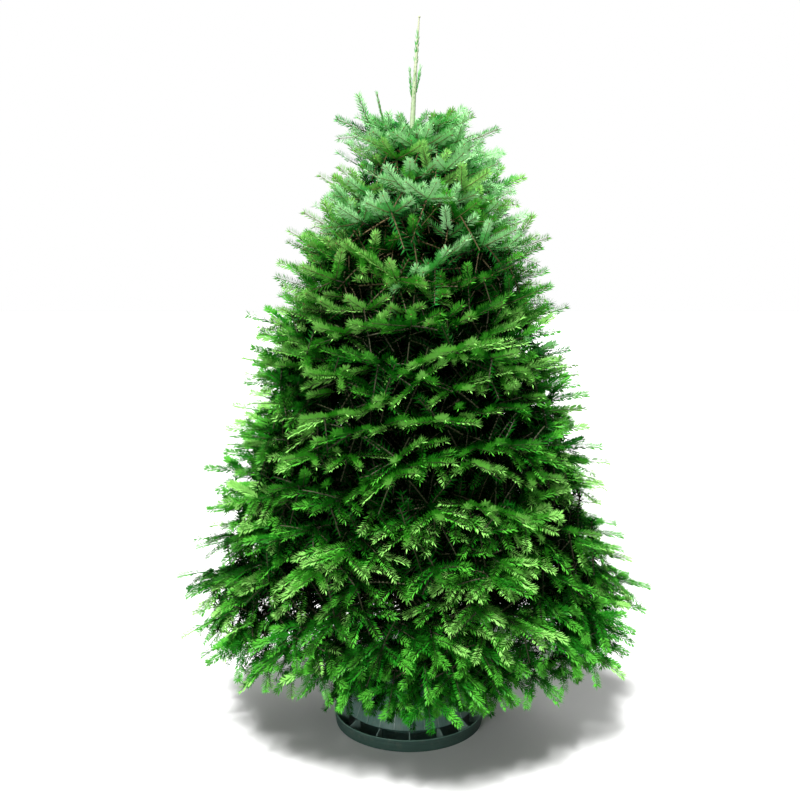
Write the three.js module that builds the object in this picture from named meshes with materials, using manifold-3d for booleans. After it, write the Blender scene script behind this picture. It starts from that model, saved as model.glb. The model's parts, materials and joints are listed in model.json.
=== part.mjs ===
// A cut fir, dressed as a Christmas tree, standing in a moulded plastic water stand.
// Millimetres, +Z up. The origin is the centre of the stand's flat underside, and the front faces -Y.
// Whorls of boughs leave the trunk; each bough ends where it enters its own mass of foliage.
import * as THREE from "three";
import { mergeVertices } from "three/addons/utils/BufferGeometryUtils.js";
import Module from "manifold-3d";

const wasm = await Module();
wasm.setup();

// Driving dimensions
const clearance = 0.4; // gap left between pieces that touch
const treeHeight = 2100; // floor to the tip of the leader
const crownTop = 1885; // highest foliage, round the foot of the leader
const crownRadius = 680; // at the widest
const widestHeight = 430;
const crownFoot = 105; // height of the lowest hanging tips
const sideReach = 95; // how much further the lowest boughs reach out to the left and right

const trunk = {
  cutHeight: 17, // the sawn foot stands on the floor of the stand's cup
  footRadius: 50, // on the swell of the root flare
  flareHeight: 130,
  lowRadius: 42, // above the flare
  crownRadius: 7.5, // where the leader starts
  leaderHeight: 1850,
  tipRadius: 2.2,
  lean: 26, // sideways drift of the tip from the foot, most of it in the leader
  leanPower: 4,
  sway: 9, // slight double bend along the trunk
  sides: 10,
  rings: 18,
};

// One row for each whorl: heights of its lower edge at the trunk and at the crown's outline,
// the clear space round the trunk, and how its foliage is shared out round the tree.
const whorls = [
  { name: "skirt", masses: 6, turn: 0, trunkZ: 330, edgeZ: crownFoot, inner: 165 },
  { name: "lower", masses: 5, turn: 54, trunkZ: 470, edgeZ: 440, inner: 135 },
  { name: "middle", masses: 4, turn: 47, trunkZ: 640, edgeZ: 770, inner: 110 },
  { name: "upper", masses: 4, turn: 5, trunkZ: 840, edgeZ: 1060, inner: 90 },
  { name: "shoulder", masses: 3, turn: 84, trunkZ: 1060, edgeZ: 1320, inner: 70 },
  { name: "top", masses: 3, turn: 35, trunkZ: 1280, edgeZ: 1570, inner: 50 },
];
const crownTip = { trunkZ: 1600, edgeZ: crownTop, inner: 26, edgeRadius: 62 };

// How the crown's outline closes above and below its widest part.
const profile = { pastTop: 12, shoulderPower: 1.3, roundness: 0.56, pastFoot: 60 };

const foliage = {
  detail: 2, // subdivisions of each mass
  squareness: 4.6, // 2 is a ball, higher fills its share of the crown more squarely
  lumpDepth: 0.1,
  azimuthGap: 0.03, // share of each sector left open beside its neighbours
  tierGap: 0.03, // share of each tier left open above and below
  droop: 1.25, // above 1 the masses sag towards their tips
};

// start and next run along a mass, -1 at its inner end; the mass is larger by room when it cuts the bough.
const bough = { rootRadius: 15, thinPerWhorl: 1.7, taper: 0.72, sides: 6, entry: 35, start: -0.8, next: -0.4, room: 1.006 };

const leaderTwigs = [
  { name: "leader_twig_left", foot: 1858, length: 104, azimuth: 190, lean: 6 },
  { name: "leader_twig_right", foot: 1874, length: 92, azimuth: 12, lean: 13 },
];
const leaderTwig = { rootRadius: 3, tipRadius: 6, sides: 8 };

const stand = {
  radius: 227, // outside of the tray's wall at the floor
  flare: 4.5, // how far the wall leans out
  wallHeight: 39,
  wall: 4,
  floor: 4.5,
  skirtRadius: 202, // lower edge of the conical body
  skirtHeight: 54,
  topRadius: 152,
  topHeight: 190,
  lip: 7,
  lipHeight: 6,
  cupFoot: 118, // inside of the water cup at its floor
  cupTop: 139,
  cupFloor: 11,
  skin: 4,
  segments: 28,
  ribs: 14,
  ribWidth: 3.6,
  ribReach: 12, // how far the ribs run in under the body
  ribSink: 1, // how far they sink into the tray
};

const screw = {
  count: 4,
  turn: 45,
  height: 168,
  radius: 4.2,
  pad: 11, // radius of the pad on the trunk
  padLength: 7,
  bite: 4, // how far the blank reaches into the trunk before it is cut to the trunk's face
  reach: 30, // how far the shaft stands out of the wall
  wallShare: 0.8, // where the screws pass through the cone, from its lower edge to its top
  bar: 46,
  barRadius: 3.8,
  sides: 12,
};

// Helpers
const radians = THREE.MathUtils.degToRad;
const mix = THREE.MathUtils.lerp;
const smooth = (t) => t * t * (3 - 2 * t);

// A geometry as one closed surface, its shared corners merged.
function welded(geometry, tolerance = 1e-4) {
  const bare = geometry.clone();
  bare.deleteAttribute("normal");
  bare.deleteAttribute("uv");
  return mergeVertices(bare, tolerance);
}

// Moves every corner of a geometry to where place(corner) says.
function deformed(geometry, place) {
  const made = geometry.clone();
  const position = made.getAttribute("position");
  const corner = new THREE.Vector3();
  for (let i = 0; i < position.count; i += 1) {
    corner.fromBufferAttribute(position, i);
    place(corner, i);
    position.setXYZ(i, corner.x, corner.y, corner.z);
  }
  return made;
}

function solidOf(geometry) {
  const merged = welded(geometry, 1e-3);
  return new wasm.Manifold(
    new wasm.Mesh({
      numProp: 3,
      vertProperties: new Float32Array(merged.getAttribute("position").array),
      triVerts: new Uint32Array(merged.index.array),
    }),
  );
}

function geometryOf(solid) {
  const mesh = solid.getMesh();
  return new THREE.BufferGeometry()
    .setAttribute("position", new THREE.BufferAttribute(mesh.vertProperties, 3))
    .setIndex(new THREE.BufferAttribute(mesh.triVerts, 1));
}

// A closed solid of revolution about Z from a profile of [radius, height] corners.
function turned(profile, segments) {
  const points = profile.map(([r, z]) => new THREE.Vector2(r, z));
  return welded(new THREE.LatheGeometry(points, segments).rotateX(Math.PI / 2));
}

// A round limb that follows centreAt(t), with radiusAt(t), for t from 0 at its root to 1 at its tip.
function limb(centreAt, radiusAt, sides, rings) {
  const rod = welded(new THREE.CylinderGeometry(1, 1, 1, sides, rings));
  return deformed(rod, (corner) => {
    const t = corner.y + 0.5;
    const centre = centreAt(t);
    const along = centreAt(t + 1e-3).sub(centreAt(t - 1e-3)).normalize();
    const side = new THREE.Vector3(-along.y, along.x, 0);
    if (side.lengthSq() < 1e-8) side.set(1, 0, 0);
    side.normalize();
    const up = new THREE.Vector3().crossVectors(side, along);
    const across = corner.x;
    const over = corner.z;
    corner.copy(centre).addScaledVector(side, across * radiusAt(t)).addScaledVector(up, over * radiusAt(t));
  });
}

// Trunk
function trunkCentre(z) {
  const rise = THREE.MathUtils.clamp(z / treeHeight, 0, 1);
  return new THREE.Vector3(
    trunk.lean * rise ** trunk.leanPower + trunk.sway * Math.sin(2 * Math.PI * rise),
    trunk.sway * Math.sin(Math.PI * rise) * rise,
    z,
  );
}

function trunkRadius(z) {
  if (z > trunk.leaderHeight) {
    return mix(trunk.crownRadius, trunk.tipRadius, (z - trunk.leaderHeight) / (treeHeight - trunk.leaderHeight));
  }
  const flare = Math.max(0, 1 - (z - trunk.cutHeight) / trunk.flareHeight) ** 2;
  const share = (z - trunk.cutHeight) / (trunk.leaderHeight - trunk.cutHeight);
  return mix(trunk.lowRadius, trunk.crownRadius, share) + flare * (trunk.footRadius - trunk.lowRadius);
}

function trunkGeometry(grow = 0) {
  const heightAt = (t) => mix(trunk.cutHeight, treeHeight, t);
  const upright = welded(new THREE.CylinderGeometry(1, 1, 1, trunk.sides, trunk.rings).rotateX(Math.PI / 2));
  return deformed(upright, (corner) => {
    const z = heightAt(corner.z + 0.5);
    const radius = trunkRadius(z) + grow;
    const centre = trunkCentre(z);
    corner.set(centre.x + corner.x * radius, centre.y + corner.y * radius, z);
  });
}

// Crown
// Radius of the crown's outline at height z.
function outline(z) {
  if (z > widestHeight) {
    const share = Math.min(1, (z - widestHeight) / (crownTop + profile.pastTop - widestHeight));
    return crownRadius * (1 - share ** profile.shoulderPower) ** profile.roundness;
  }
  const share = Math.min(1, (widestHeight - z) / (widestHeight - crownFoot + profile.pastFoot));
  return crownRadius * Math.sqrt(1 - share ** 2);
}

// The line that separates a whorl from the one below it, from the trunk out to the crown's outline.
function edgeLine(index) {
  if (index === whorls.length) return crownTip;
  const whorl = whorls[index];
  return { ...whorl, edgeRadius: outline(whorl.edgeZ) };
}

// Where a corner of a ball lands when the ball fills the share of the crown that one mass has.
// along, around and above each run from -1 to 1.
function placeInCrown(index, azimuth, sector, along, around, above) {
  const low = edgeLine(index);
  const high = edgeLine(index + 1);
  const rise = (above * (1 - foliage.tierGap) + 1) / 2;
  const angle = azimuth + (around * (1 - foliage.azimuthGap) * sector) / 2;
  const sideways = index === 0 ? Math.cos(angle) ** 8 : 0;
  const edgeZ = mix(low.edgeZ, high.edgeZ, rise);
  const curved = index === whorls.length - 1 ? mix(low.edgeRadius, high.edgeRadius, smooth(rise)) : outline(edgeZ);
  const edgeRadius = curved + sideReach * sideways * smooth(rise);
  const innerRadius = mix(low.inner, high.inner, rise);
  const out = (along + 1) / 2;
  const z = mix(mix(low.trunkZ, high.trunkZ, rise), edgeZ, out ** foliage.droop);
  const radius = mix(innerRadius, edgeRadius, out);
  const centre = trunkCentre(z);
  return new THREE.Vector3(centre.x + radius * Math.cos(angle), centre.y + radius * Math.sin(angle), z);
}

// Share of full size at a corner of mass number seed: a few rounded lumps, never above 1.
function lumps(corner, seed) {
  const wave = (k, phase) =>
    Math.sin(k * corner.x + phase * seed) * Math.sin(k * corner.y + 2.1 * phase * seed) +
    Math.sin(k * corner.z + 1.3 * phase * seed);
  const bump = (wave(3.1, 1.7) + 0.6 * wave(5.7, 2.9)) / 3.2;
  return 1 - foliage.lumpDepth * (0.5 - 0.5 * bump);
}

const ball = welded(new THREE.IcosahedronGeometry(1, foliage.detail), 1e-5);

function massGeometry(index, number, grow = 1) {
  const whorl = whorls[index];
  const sector = (2 * Math.PI) / whorl.masses;
  const azimuth = radians(whorl.turn) + number * sector;
  const seed = 1 + index * 7 + number;
  return deformed(ball, (corner) => {
    const power = foliage.squareness;
    const spread = [corner.x, corner.y, corner.z].reduce((sum, v) => sum + Math.abs(v) ** power, 0) ** (1 / power);
    const size = (grow * lumps(corner, seed)) / spread;
    corner.copy(placeInCrown(index, azimuth, sector, corner.x * size, corner.y * size, corner.z * size));
  });
}

// A limb from inside the trunk to a little way into its mass, cut back to the surfaces of both.
function boughGeometry(index, number, grownTrunk) {
  const whorl = whorls[index];
  const sector = (2 * Math.PI) / whorl.masses;
  const azimuth = radians(whorl.turn) + number * sector;
  const entry = placeInCrown(index, azimuth, sector, bough.start, 0, 0);
  const next = placeInCrown(index, azimuth, sector, bough.next, 0, 0);
  const heading = next.clone().sub(entry).normalize();
  const tip = entry.clone().addScaledVector(heading, bough.entry);
  const rootZ = entry.z - heading.z * entry.distanceTo(trunkCentre(entry.z));
  const root = trunkCentre(rootZ);
  const bend = new THREE.QuadraticBezierCurve3(root, mix3(root, entry, 0.5), tip);
  const rootRadius = bough.rootRadius - bough.thinPerWhorl * index;
  const thick = (t) => rootRadius * mix(1, bough.taper, t);
  const rod = solidOf(limb((t) => bend.getPoint(THREE.MathUtils.clamp(t, -1, 2)), thick, bough.sides, 2));
  const mass = solidOf(massGeometry(index, number, bough.room));
  return geometryOf(rod.subtract(grownTrunk).subtract(mass));
}

function mix3(a, b, t) {
  return a.clone().lerp(b, t);
}

// The two short upright twigs beside the leader, each a slim mass that thickens and closes again.
function leaderTwigGeometry(twig, grownTrunk) {
  const azimuth = radians(twig.azimuth);
  const lean = radians(twig.lean);
  const outward = new THREE.Vector3(Math.cos(azimuth), Math.sin(azimuth), 0);
  const heading = outward.clone().multiplyScalar(Math.sin(lean)).setZ(Math.cos(lean));
  const root = trunkCentre(twig.foot);
  const centreAt = (t) => root.clone().addScaledVector(heading, t * twig.length);
  const thick = (t) => mix(leaderTwig.rootRadius, leaderTwig.tipRadius, Math.sin(Math.PI * t * 0.9));
  return geometryOf(solidOf(limb(centreAt, thick, leaderTwig.sides, 5)).subtract(grownTrunk));
}

// Stand
// A shallow tray with a leaning wall, and short ribs that carry the edge of the conical body.
function trayGeometry() {
  const { radius, flare, wallHeight, wall, floor } = stand;
  const shell = solidOf(
    turned(
      [
        [0, 0],
        [radius, 0],
        [radius + flare, wallHeight],
        [radius + flare - wall, wallHeight],
        [radius - wall, floor],
        [0, floor],
      ],
      stand.segments,
    ),
  );
  const outer = radius - wall / 2;
  const inner = stand.skirtRadius - stand.ribReach;
  const sink = stand.ribSink;
  const under = stand.skirtHeight - clearance - 2 * sink;
  const web = new THREE.Shape([
    new THREE.Vector2(inner, floor - sink),
    new THREE.Vector2(outer, floor - sink),
    new THREE.Vector2(radius + flare / 2, wallHeight - 2 * sink),
    new THREE.Vector2(stand.skirtRadius + sink, stand.skirtHeight - sink),
    new THREE.Vector2(stand.skirtRadius - sink, under),
    new THREE.Vector2(inner, under),
  ]);
  const plate = new THREE.ExtrudeGeometry(web, { depth: stand.ribWidth, bevelEnabled: false })
    .translate(0, 0, -stand.ribWidth / 2)
    .rotateX(Math.PI / 2);
  const body = bodySolid(clearance);
  return Array.from({ length: stand.ribs }).reduce((made, _, i) => {
    const rib = solidOf(plate.clone().rotateZ(-Math.PI / 2 + (i * 2 * Math.PI) / stand.ribs));
    return made.add(rib.subtract(body));
  }, shell);
}

// The conical body with the water cup inside it: one skin that folds over at the top rim.
function bodySolid(grow = 0) {
  const { skirtRadius, skirtHeight, topRadius, topHeight, lip, lipHeight, cupFoot, cupTop, cupFloor, skin } = stand;
  return solidOf(
    turned(
      [
        [0, stand.floor + clearance - grow],
        [cupFoot + skin + grow, stand.floor + clearance - grow],
        [cupTop + skin + grow, topHeight - skin],
        [topRadius - skin, topHeight - skin],
        [skirtRadius - skin - grow, skirtHeight - grow],
        [skirtRadius + grow, skirtHeight - grow],
        [topRadius + grow, topHeight],
        [topRadius + lip, topHeight],
        [topRadius + lip, topHeight + lipHeight],
        [cupTop, topHeight + lipHeight],
        [cupFoot, cupFloor],
        [0, cupFloor],
      ],
      stand.segments,
    ),
  );
}

// A rod from radius a to radius b along one azimuth, at the height of the clamping screws.
function screwRod(radius, from, to, angle) {
  return solidOf(
    new THREE.CylinderGeometry(radius, radius, to - from, screw.sides)
      .rotateZ(Math.PI / 2)
      .translate((from + to) / 2, 0, screw.height)
      .rotateZ(angle),
  );
}

const screwAngle = (i) => radians(screw.turn) + (i * 2 * Math.PI) / screw.count;

function bodyGeometry() {
  const far = stand.skirtRadius;
  const near = stand.cupFoot;
  return geometryOf(
    Array.from({ length: screw.count }).reduce(
      (made, _, i) => made.subtract(screwRod(screw.radius + clearance, near, far, screwAngle(i))),
      bodySolid(),
    ),
  );
}

// A clamping screw: a pad on the trunk, the shaft through the wall, and a cross bar to turn it by.
function screwGeometry(i, grownTrunk) {
  const angle = screwAngle(i);
  const outerWall = stand.skirtRadius - (stand.skirtRadius - stand.topRadius) * screw.wallShare;
  const end = outerWall + screw.reach;
  const trunkFace = trunkRadius(screw.height);
  const shaft = screwRod(screw.radius, trunkFace - screw.bite, end, angle);
  const pad = screwRod(screw.pad, trunkFace - screw.bite, trunkFace + screw.padLength, angle);
  const bar = solidOf(
    new THREE.CylinderGeometry(screw.barRadius, screw.barRadius, screw.bar, screw.sides)
      .translate(end - screw.radius, 0, screw.height)
      .applyMatrix4(new THREE.Matrix4().makeRotationZ(angle)),
  );
  return geometryOf(shaft.add(pad).add(bar).subtract(grownTrunk));
}

// Assembly
const finish = (colour, roughness) => new THREE.MeshStandardMaterial({ color: colour, roughness, metalness: 0 });
const bark = finish(0x6b5136, 0.9);
const needles = finish(0x2f7a34, 0.7);
const paleShoot = finish(0xa9bd8c, 0.7);
const greenPlastic = finish(0x3f5f55, 0.45);
const zinc = new THREE.MeshStandardMaterial({ color: 0xb9bcc0, roughness: 0.35, metalness: 0.9 });

const tree = new THREE.Group();
function add(name, geometry, material) {
  const mesh = new THREE.Mesh(geometry, material);
  mesh.name = name;
  tree.add(mesh);
}

const grownTrunk = solidOf(trunkGeometry(clearance));
add("trunk", trunkGeometry(), bark);
whorls.forEach((whorl, index) => {
  for (let number = 0; number < whorl.masses; number += 1) {
    add(`${whorl.name}_bough_${number + 1}`, boughGeometry(index, number, grownTrunk), bark);
    add(`${whorl.name}_foliage_${number + 1}`, massGeometry(index, number), needles);
  }
});
leaderTwigs.forEach((twig) => add(twig.name, leaderTwigGeometry(twig, grownTrunk), paleShoot));
add("stand_tray", geometryOf(trayGeometry()), greenPlastic);
add("stand_body", bodyGeometry(), greenPlastic);
for (let i = 0; i < screw.count; i += 1) add(`stand_screw_${i + 1}`, screwGeometry(i, grownTrunk), zinc);

export default tree;
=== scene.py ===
import json
import math
import random

import bpy
import numpy as np
from mathutils import Matrix, Vector, noise
from mathutils.bvhtree import BVHTree

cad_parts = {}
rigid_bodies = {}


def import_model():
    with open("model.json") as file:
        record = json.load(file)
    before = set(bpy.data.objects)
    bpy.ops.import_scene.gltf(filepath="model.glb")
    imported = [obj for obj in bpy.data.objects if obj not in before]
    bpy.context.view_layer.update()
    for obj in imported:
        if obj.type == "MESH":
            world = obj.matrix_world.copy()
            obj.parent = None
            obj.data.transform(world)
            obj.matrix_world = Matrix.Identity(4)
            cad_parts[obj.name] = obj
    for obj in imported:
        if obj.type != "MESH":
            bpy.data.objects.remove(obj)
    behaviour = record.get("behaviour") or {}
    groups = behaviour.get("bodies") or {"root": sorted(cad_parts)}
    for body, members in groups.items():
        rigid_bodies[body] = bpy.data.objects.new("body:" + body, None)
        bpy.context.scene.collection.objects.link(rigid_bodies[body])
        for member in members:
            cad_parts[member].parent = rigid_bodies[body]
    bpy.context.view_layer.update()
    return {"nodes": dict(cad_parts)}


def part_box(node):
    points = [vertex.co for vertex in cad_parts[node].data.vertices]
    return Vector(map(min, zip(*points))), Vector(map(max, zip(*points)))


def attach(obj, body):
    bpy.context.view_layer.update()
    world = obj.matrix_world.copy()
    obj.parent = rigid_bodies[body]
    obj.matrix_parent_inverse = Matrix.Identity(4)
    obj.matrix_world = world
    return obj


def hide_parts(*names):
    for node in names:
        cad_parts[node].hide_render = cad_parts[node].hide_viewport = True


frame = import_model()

scene = bpy.context.scene
upward = Vector((0, 0, 1))
whorls = ["skirt", "lower", "middle", "upper", "shoulder", "top"]

studio = {
    "cameraHeight": 1.55, "cameraDistance": 3.15, "cameraSide": -0.028,
    "pitchDown": 9.8, "lens": 48.4,
    "backdrop": (1.0, 1.0, 1.0), "backdropLight": 0.22,
    "floor": (0.88, 0.88, 0.87), "floorHalf": 14, "floorRoughness": 0.9,
    "floorBounce": (0.30, 0.30, 0.30),  # the floor's colour to the light that it throws back into the crown
    # name, where it shines from, how soft it is in degrees, strength
    "lamps": [
        ("key", (-0.5, -1.6, 3.2), 14, 6.6),
        ("fill", (-1.4, -2.6, 0.9), 24, 0.9),
        ("back", (0.9, 2.4, 2.4), 30, 0.8),
    ],
}

growth = {
    "seed": 23,
    # each line below runs over the height of a spray's tip, from the crown's foot to its top
    "heights": [0.20, 0.30, 0.50, 0.80, 1.10, 1.40, 1.60, 1.75, 1.86],
    "rise": [-28, -18, -8, 4, 12, 20, 24, 20, 12],  # slope from the trunk to the tip, degrees
    "yearLength": [0.080, 0.083, 0.087, 0.089, 0.092, 0.096, 0.102, 0.106, 0.096],
    "needleSize": [0.72, 0.76, 0.80, 0.82, 0.84, 0.84, 0.83, 0.81, 0.78],
    "sprayArea": [0.015, 0.017, 0.021, 0.022, 0.021, 0.019, 0.016, 0.014, 0.012],
    "tipLift": [-0.26, -0.18, -0.10, -0.06, -0.02, 0.04, 0.08, 0.10, 0.08],  # how shoots curve up
    "droop": [0.24, 0.22, 0.18, 0.14, 0.08, 0.00, -0.05, -0.06, -0.04],  # how side shoots sink
    "roll": [22, 24, 28, 38, 44, 44, 46, 52, 60],  # how far a spray's plane may turn, degrees
    "bare": [0.16, 0.18, 0.18, 0.16, 0.14, 0.12, 0.08, 0.05, 0.05],  # share with no shoots, by the trunk
    "waxy": [0.00, 0.00, 0.00, 0.00, 0.00, 0.12, 0.55, 0.92, 1.00],  # share of sprays in the waxy tints
    # sprays are dealt darker towards the bottom of the crown: painted shade where the crown shades its lowest
    # sprays, besides each spray's own random tone
    "lightnessAndPaintedShade": [0.26, 0.46, 0.74, 1.02, 1.20, 1.26, 1.28, 1.52, 1.80],  # how light the sprays are dealt
    "shift": [0.0, 0.0, 0.0, 0.0, 0.005, 0.016, 0.022, 0.020, 0.008],  # how far the crown leans sideways
    "forkAngle": 54, "forkScatter": 8, "sideShare": 0.94, "mostYears": 3, "sideYears": 2,
    "missingFork": 0.07,  # chance that a fork past the first lacks one side
    "midForks": 0.80, "midAngles": (48, 68),  # chance and angles of side shoots along a year's wood
    "shortest": 0.034, "shorten": 0.84,  # the shortest shoot, and how a shoot that meets the outline is cut
    "margin": 0.022, "reach": [0.90, 1.02], "room": 0.034,
    # where boughs leave the trunk, how they rise there and at their tips, and how stiff their curves are
    "lowestRoot": 0.235, "highestRoot": 1.80, "leaveTilt": 14, "arriveTilt": 4, "stiffness": 0.33,
    "slopeScatter": 4, "pathSteps": 24, "limbSteps": 8, "collar": 0.0035,
    # lowest needles by distance from the trunk
    "clearAt": [0.235, 0.26, 0.34, 0.42, 0.60], "clear": [0.225, 0.100, 0.150, 0.220, 0.265],
    "woodRadius": 0.0012, "woodPerYear": 0.0007,
    "station": 0.0045,  # between one ring of needles and the next, in the light
    # how much further apart the rings are, and how few forks there are, by depth inside the crown
    "depths": [0.08, 0.16, 0.24, 0.32], "thinning": [1.0, 1.2, 1.7, 2.4], "forkShare": [1.0, 0.8, 0.4, 0.2],
    # shaded shoots, thinly needled, all round the inner part of each bough
    "shadeStep": 0.028, "shadeLength": 0.100, "shadeSize": 1.05, "shadeStation": 0.011, "shadeRoom": 0.12,
    "shadeBelow": 1.81, "shadeFloor": 0.33, "shadeCeiling": 1.76,
    "hemDepth": 0.06,  # the hem hangs free, so it is never taken as deeper inside than this
    "brushFrom": 1.25,  # above this height needles stand all round the shoots
    # boughs placed one by one round the leader's foot: azimuth in degrees, reach, height of the tip
    "crownTips": [
        (186, 0.225, 1.808), (208, 0.165, 1.810), (232, 0.200, 1.762), (262, 0.165, 1.740),
        (296, 0.150, 1.802), (322, 0.175, 1.800), (346, 0.225, 1.775), (8, 0.230, 1.720),
        (34, 0.180, 1.798), (72, 0.175, 1.802), (108, 0.190, 1.790), (144, 0.180, 1.800),
        (166, 0.205, 1.772), (248, 0.130, 1.806), (282, 0.125, 1.810), (314, 0.150, 1.806),
        (218, 0.150, 1.804), (20, 0.130, 1.810), (58, 0.130, 1.814), (92, 0.140, 1.810),
        (128, 0.140, 1.812), (160, 0.150, 1.806), (192, 0.170, 1.812), (340, 0.160, 1.812),
        (270, 0.115, 1.770), (238, 0.150, 1.752), (302, 0.160, 1.756), (0, 0.180, 1.745),
        (180, 0.190, 1.745),
    ],
    # boughs that hang over the stand: how many, their reach and the height of their tips
    "hem": (25, 0.315, 0.165),
    # between these heights the boughs are dealt evenly round the trunk
    "tipsBelow": 1.80, "tipsAbove": 0.275, "turnScatter": 0.16, "heightScatter": 0.02,
    "rimRoom": 0.045,  # how far the side shoots of such boughs may leave the outline
    # boughs that stand out of the crown on its left and right: azimuth, reach, height of the tip
    "rimTips": [
        (178, 0.714, 0.459), (184, 0.678, 0.421), (174, 0.685, 0.324), (187, 0.635, 0.250),
        (176, 0.617, 0.612), (186, 0.602, 0.699), (179, 0.614, 0.798), (185, 0.537, 0.884),
        (175, 0.537, 0.982), (182, 0.464, 1.162), (176, 0.400, 1.268), (186, 0.369, 1.338),
        (179, 0.322, 1.548), (184, 0.315, 1.448), (177, 0.234, 1.647), (2, 0.728, 0.424),
        (-5, 0.697, 0.382), (6, 0.657, 0.318), (-4, 0.644, 0.240), (5, 0.634, 0.536),
        (-6, 0.622, 0.612), (3, 0.568, 0.687), (-3, 0.556, 0.872), (7, 0.537, 0.805),
        (1, 0.511, 0.982), (-5, 0.481, 1.090), (4, 0.404, 1.338), (-3, 0.391, 1.268),
        (2, 0.383, 1.477), (-6, 0.312, 1.545), (4, 0.302, 1.647),
    ],
}

needle = {
    "length": 0.025, "fold": 0.24, "curve": 0.10,
    # degrees from the upper side of the shoot, the needles' width at full size, their lean and scatter
    "kinds": {
        "parted": ([-98, -50, -4, 46, 96], 0.0050, 46, 18),
        "brush": ([-98, -52, 2, 50, 96], 0.0039, 50, 17),
        "shade": ([-120, -40, 40, 120], 0.0080, 62, 25),
        "pressed": ([5, 125, 245], 0.0036, 14, 80),
    },
    "variants": 5, "ringSeed": 40, "pressedSpread": 2.5,
    "lengths": (0.86, 1.08), "leanScatter": 7, "turnJitter": 0.24, "sizeJitter": 0.12,
    "sizeSeed": 3, "variantSeed": 7,
    # the closed brush at a shoot's tip
    "brushes": 3, "brushSeed": 70, "tipCount": 6, "tipWidth": 0.0044, "tipForward": 30, "tipScatter": 15,
    "tipSpread": 0.002,
    "stemRadius": 0.0010, "roughness": 0.5,
    # size along a shoot, and from where on it takes its lighter tip tint
    "taper": [(0.0, 0.75), (0.16, 1.0), (0.75, 1.0), (1.0, 0.94)], "lightFrom": 0.62,
}

leader = {
    "foot": 1.790, "needlesFrom": 1.855, "needlesTo": 2.045, "needleSize": 0.90, "gap": 0.0062,
    "twigs": ["leader_twig_left", "leader_twig_right"], "twigSize": 0.62, "twigGap": 0.0042,
    "twigShare": 0.86,  # how far up their solids the twigs' needles go
    "stub": [(-0.074, -0.040, 1.800), (-0.092, -0.046, 1.880)], "stubSize": 0.60, "stubRadius": 0.0022,
    "endRadius": 0.0020, "endLength": 0.0080,  # the cluster of buds at its tip
}

stand = {
    "floor": 0.0045, "wall": 0.004, "rimHeight": 0.039, "lean": 0.0045, "hollow": 0.0012,
    "fineRounding": 0.0008, "bossSteps": 24, "collarSteps": 28, "screwSteps": 24, "barSteps": 20,
    "skirtHeight": 0.054, "coneRadius": 0.152, "coneHeight": 0.190, "lip": 0.007, "skin": 0.004,
    "cupRadius": 0.139, "cupFoot": 0.118, "cupFloor": 0.011, "steps": 168, "rounding": 0.0011,
    "ribs": 14, "finWidth": 0.0034, "ridgeWidth": 0.0030, "ridgeProud": 0.0018, "markProud": 0.0012,
    "bossAt": (-96.4, 0.2185), "bossRadius": 0.0075, "bossHeight": 0.0035,
    "screws": 4, "screwTurn": 45, "screwHeight": 0.168, "screwRadius": 0.0041, "screwEnd": 0.192,
    "padRadius": 0.0108, "padLength": 0.006, "barLength": 0.044,
    "threadPitch": 0.0018, "threadDepth": 0.0004, "threadRadius": 0.0006, "plainLength": 0.012,
    "collarRadius": 0.0095, "collarFrom": 0.150, "collarTo": 0.1655,
}

# Needle tints, dealt out by spray: painted shade first, a near-black tint for shoots deep inside the crown,
# then older, this year's, and the waxy ones above.
needleTints = {
    "deep": (0.0004, 0.009, 0.0006), "old": (0.002, 0.062, 0.002), "mid": (0.012, 0.165, 0.007),
    "fresh": (0.075, 0.390, 0.030), "bright": (0.260, 0.620, 0.125),
    "blueOld": (0.014, 0.180, 0.024), "blue": (0.120, 0.530, 0.115), "frosted": (0.400, 0.800, 0.360),
}
# How much each tint shines.
needleShine = {
    "deep": 0.02, "old": 0.06, "mid": 0.10, "fresh": 0.18, "bright": 0.22, "blueOld": 0.12, "blue": 0.22,
    "frosted": 0.28,
}


# Adds a node to a tree: feeds are links or plain values by socket, settings are the node's own.
def place(tree, kind, feeds=None, **settings):
    made = tree.nodes.new(kind)
    for name, value in settings.items():
        setattr(made, name, value)
    for key, source in (feeds or {}).items():
        if isinstance(source, bpy.types.NodeSocket):
            tree.links.new(source, made.inputs[key])
        else:
            made.inputs[key].default_value = source
    return made


def maths(tree, a, b, operation="MULTIPLY"):
    return place(tree, "ShaderNodeMath", {0: a, 1: b}, operation=operation).outputs[0]


def mixed(tree, share, a, b):
    return place(tree, "ShaderNodeMix", {0: share, 6: a, 7: b}, data_type="RGBA").outputs[2]


def attribute(tree, name, kind):
    return place(tree, "GeometryNodeInputNamedAttribute", {"Name": name}, data_type=kind).outputs[0]


def joined(tree, *sources):
    both = place(tree, "GeometryNodeJoinGeometry")
    for source in sources:
        tree.links.new(source, both.inputs[0])
    return both.outputs[0]


def newGeometryTree(name, inputs):
    tree = bpy.data.node_groups.new(name, "GeometryNodeTree")
    tree.interface.new_socket("Geometry", in_out="INPUT", socket_type="NodeSocketGeometry")
    for label, kind in inputs:
        tree.interface.new_socket(label, in_out="INPUT", socket_type=kind)
    tree.interface.new_socket("Geometry", in_out="OUTPUT", socket_type="NodeSocketGeometry")
    return tree, tree.nodes.new("NodeGroupInput"), tree.nodes.new("NodeGroupOutput")


# Runs a geometry tree on an object and leaves a plain mesh object of the same name.
def settle(piece, tree, values):
    modifier = piece.modifiers.new("grow", "NODES")
    modifier.node_group = tree
    for item in tree.interface.items_tree:
        if item.item_type == "SOCKET" and item.in_out == "INPUT" and item.name in values:
            modifier[item.identifier] = values[item.name]
    bpy.context.view_layer.update()
    made = bpy.data.meshes.new_from_object(piece.evaluated_get(bpy.context.evaluated_depsgraph_get()))
    piece.modifiers.clear()
    old = piece.data
    piece.data = made
    bpy.data.meshes.remove(old)
    return piece


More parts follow.
